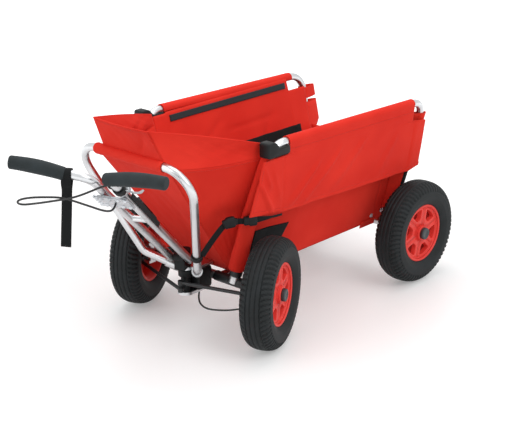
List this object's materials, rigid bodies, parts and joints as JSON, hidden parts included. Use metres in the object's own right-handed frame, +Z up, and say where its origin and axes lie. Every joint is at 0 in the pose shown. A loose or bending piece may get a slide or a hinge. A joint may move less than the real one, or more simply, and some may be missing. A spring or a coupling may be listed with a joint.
{
  "type": "daycare wagon",
  "caption": "Hand-pulled wagon with a red fabric tub on an aluminium tube chassis, steered front wheels and a tilting drawbar with foam grips.",
  "frame": {"origin": "on the ground, on the wagon's centre plane, midway between the axles", "axes": "+X to the wagon's left, +Y to its rear, +Z up; the drawbar points to -Y when the wheels run straight"},
  "size_m": [0.6781, 1.4537, 0.6272],
  "materials": {
    "aluminium_tube": "polished tube with a fine drawn grain",
    "cast_aluminium": "satin",
    "zinc_steel": "bright zinc plate",
    "red_fabric": "coated polyester weave",
    "floor_panel": "textured board",
    "black_plastic": "moulded, fine grain",
    "grip_foam": "closed-cell foam",
    "black_webbing": "woven webbing",
    "cable_jacket": "smooth jacket",
    "red_rim": "moulded, semi-gloss",
    "tyre": "matt rubber"
  },
  "bodies": {
    "chassis": {"chassis_frame": "aluminium_tube", "front_hoop": "aluminium_tube", "side_frame_left": "aluminium_tube", "side_frame_right": "aluminium_tube", "corner_cap_left": "black_plastic", "corner_cap_right": "black_plastic", "tub_floor": "red_fabric", "floor_board": "floor_panel", "tub_side_left": "red_fabric", "tub_side_right": "red_fabric", "tub_corner_left": "red_fabric", "tub_corner_right": "red_fabric", "tub_front": "red_fabric", "tub_rear": "red_fabric", "flap_left": "red_fabric", "flap_right": "red_fabric", "front_lip": "red_fabric", "hub_cable": "cable_jacket"},
    "head": {"steering_head": "cast_aluminium"},
    "drawbar": {"drawbar_tubes": "aluminium_tube", "handle_plate": "zinc_steel", "grip_left": "grip_foam", "grip_right": "grip_foam", "brake_lever": "cast_aluminium", "lever_cable": "cable_jacket", "wrist_strap": "black_webbing"},
    "rod_left": {"tie_rod_left": "zinc_steel"},
    "rod_right": {"tie_rod_right": "zinc_steel"},
    "kingpin_left": {"knuckle_left": "cast_aluminium"},
    "kingpin_right": {"knuckle_right": "cast_aluminium"},
    "wheel_front_left": {"rim_front_left": "red_rim", "tyre_front_left": "tyre"},
    "wheel_front_right": {"rim_front_right": "red_rim", "tyre_front_right": "tyre"},
    "wheel_rear_left": {"rim_rear_left": "red_rim", "tyre_rear_left": "tyre"},
    "wheel_rear_right": {"rim_rear_right": "red_rim", "tyre_rear_right": "tyre"}
  },
  "joints": [
    {"name": "steer", "type": "hinge", "parent": "chassis", "child": "head", "pos_m": [0, -0.3855, 0.2], "axis": [0, 0, 1], "range_deg": [-55.5, 10.5]},
    {"name": "tilt", "type": "hinge", "parent": "head", "child": "drawbar", "pos_m": [0.01607, -0.4243, 0.225], "axis": [-0.9239, -0.3827, 0], "range_deg": [-45, 12]},
    {"name": "steer_left", "type": "hinge", "parent": "chassis", "child": "kingpin_left", "pos_m": [0.225, -0.3155, 0.15], "axis": [0, 0, 1], "range_deg": [-55.5, 10.5]},
    {"name": "steer_right", "type": "hinge", "parent": "chassis", "child": "kingpin_right", "pos_m": [-0.225, -0.3155, 0.15], "axis": [0, 0, 1], "range_deg": [-55.5, 10.5]},
    {"name": "rod_swing_left", "type": "hinge", "parent": "head", "child": "rod_left", "pos_m": [0.01339, -0.41784, 0.15], "axis": [0, 0, 1], "range_deg": [-10.5, 55.5]},
    {"name": "rod_swing_right", "type": "hinge", "parent": "head", "child": "rod_right", "pos_m": [0.01339, -0.41784, 0.13], "axis": [0, 0, 1], "range_deg": [-10.5, 55.5]},
    {"name": "roll_front_left", "type": "hinge", "parent": "kingpin_left", "child": "wheel_front_left", "pos_m": [0.23609, -0.31091, 0.15], "axis": [0.9239, 0.3827, 0], "continuous": true},
    {"name": "roll_front_right", "type": "hinge", "parent": "kingpin_right", "child": "wheel_front_right", "pos_m": [-0.23609, -0.32009, 0.15], "axis": [0.9239, 0.3827, 0], "continuous": true},
    {"name": "roll_rear_left", "type": "hinge", "parent": "chassis", "child": "wheel_rear_left", "pos_m": [0.237, 0.3155, 0.15], "axis": [1, 0, 0], "continuous": true},
    {"name": "roll_rear_right", "type": "hinge", "parent": "chassis", "child": "wheel_rear_right", "pos_m": [-0.237, 0.3155, 0.15], "axis": [1, 0, 0], "continuous": true}
  ],
  "couplings": [
    {"joint": "steer_left", "follows": "steer", "ratio": 1},
    {"joint": "steer_right", "follows": "steer", "ratio": 1},
    {"joint": "rod_swing_left", "follows": "steer", "ratio": -1},
    {"joint": "rod_swing_right", "follows": "steer", "ratio": -1}
  ]
}
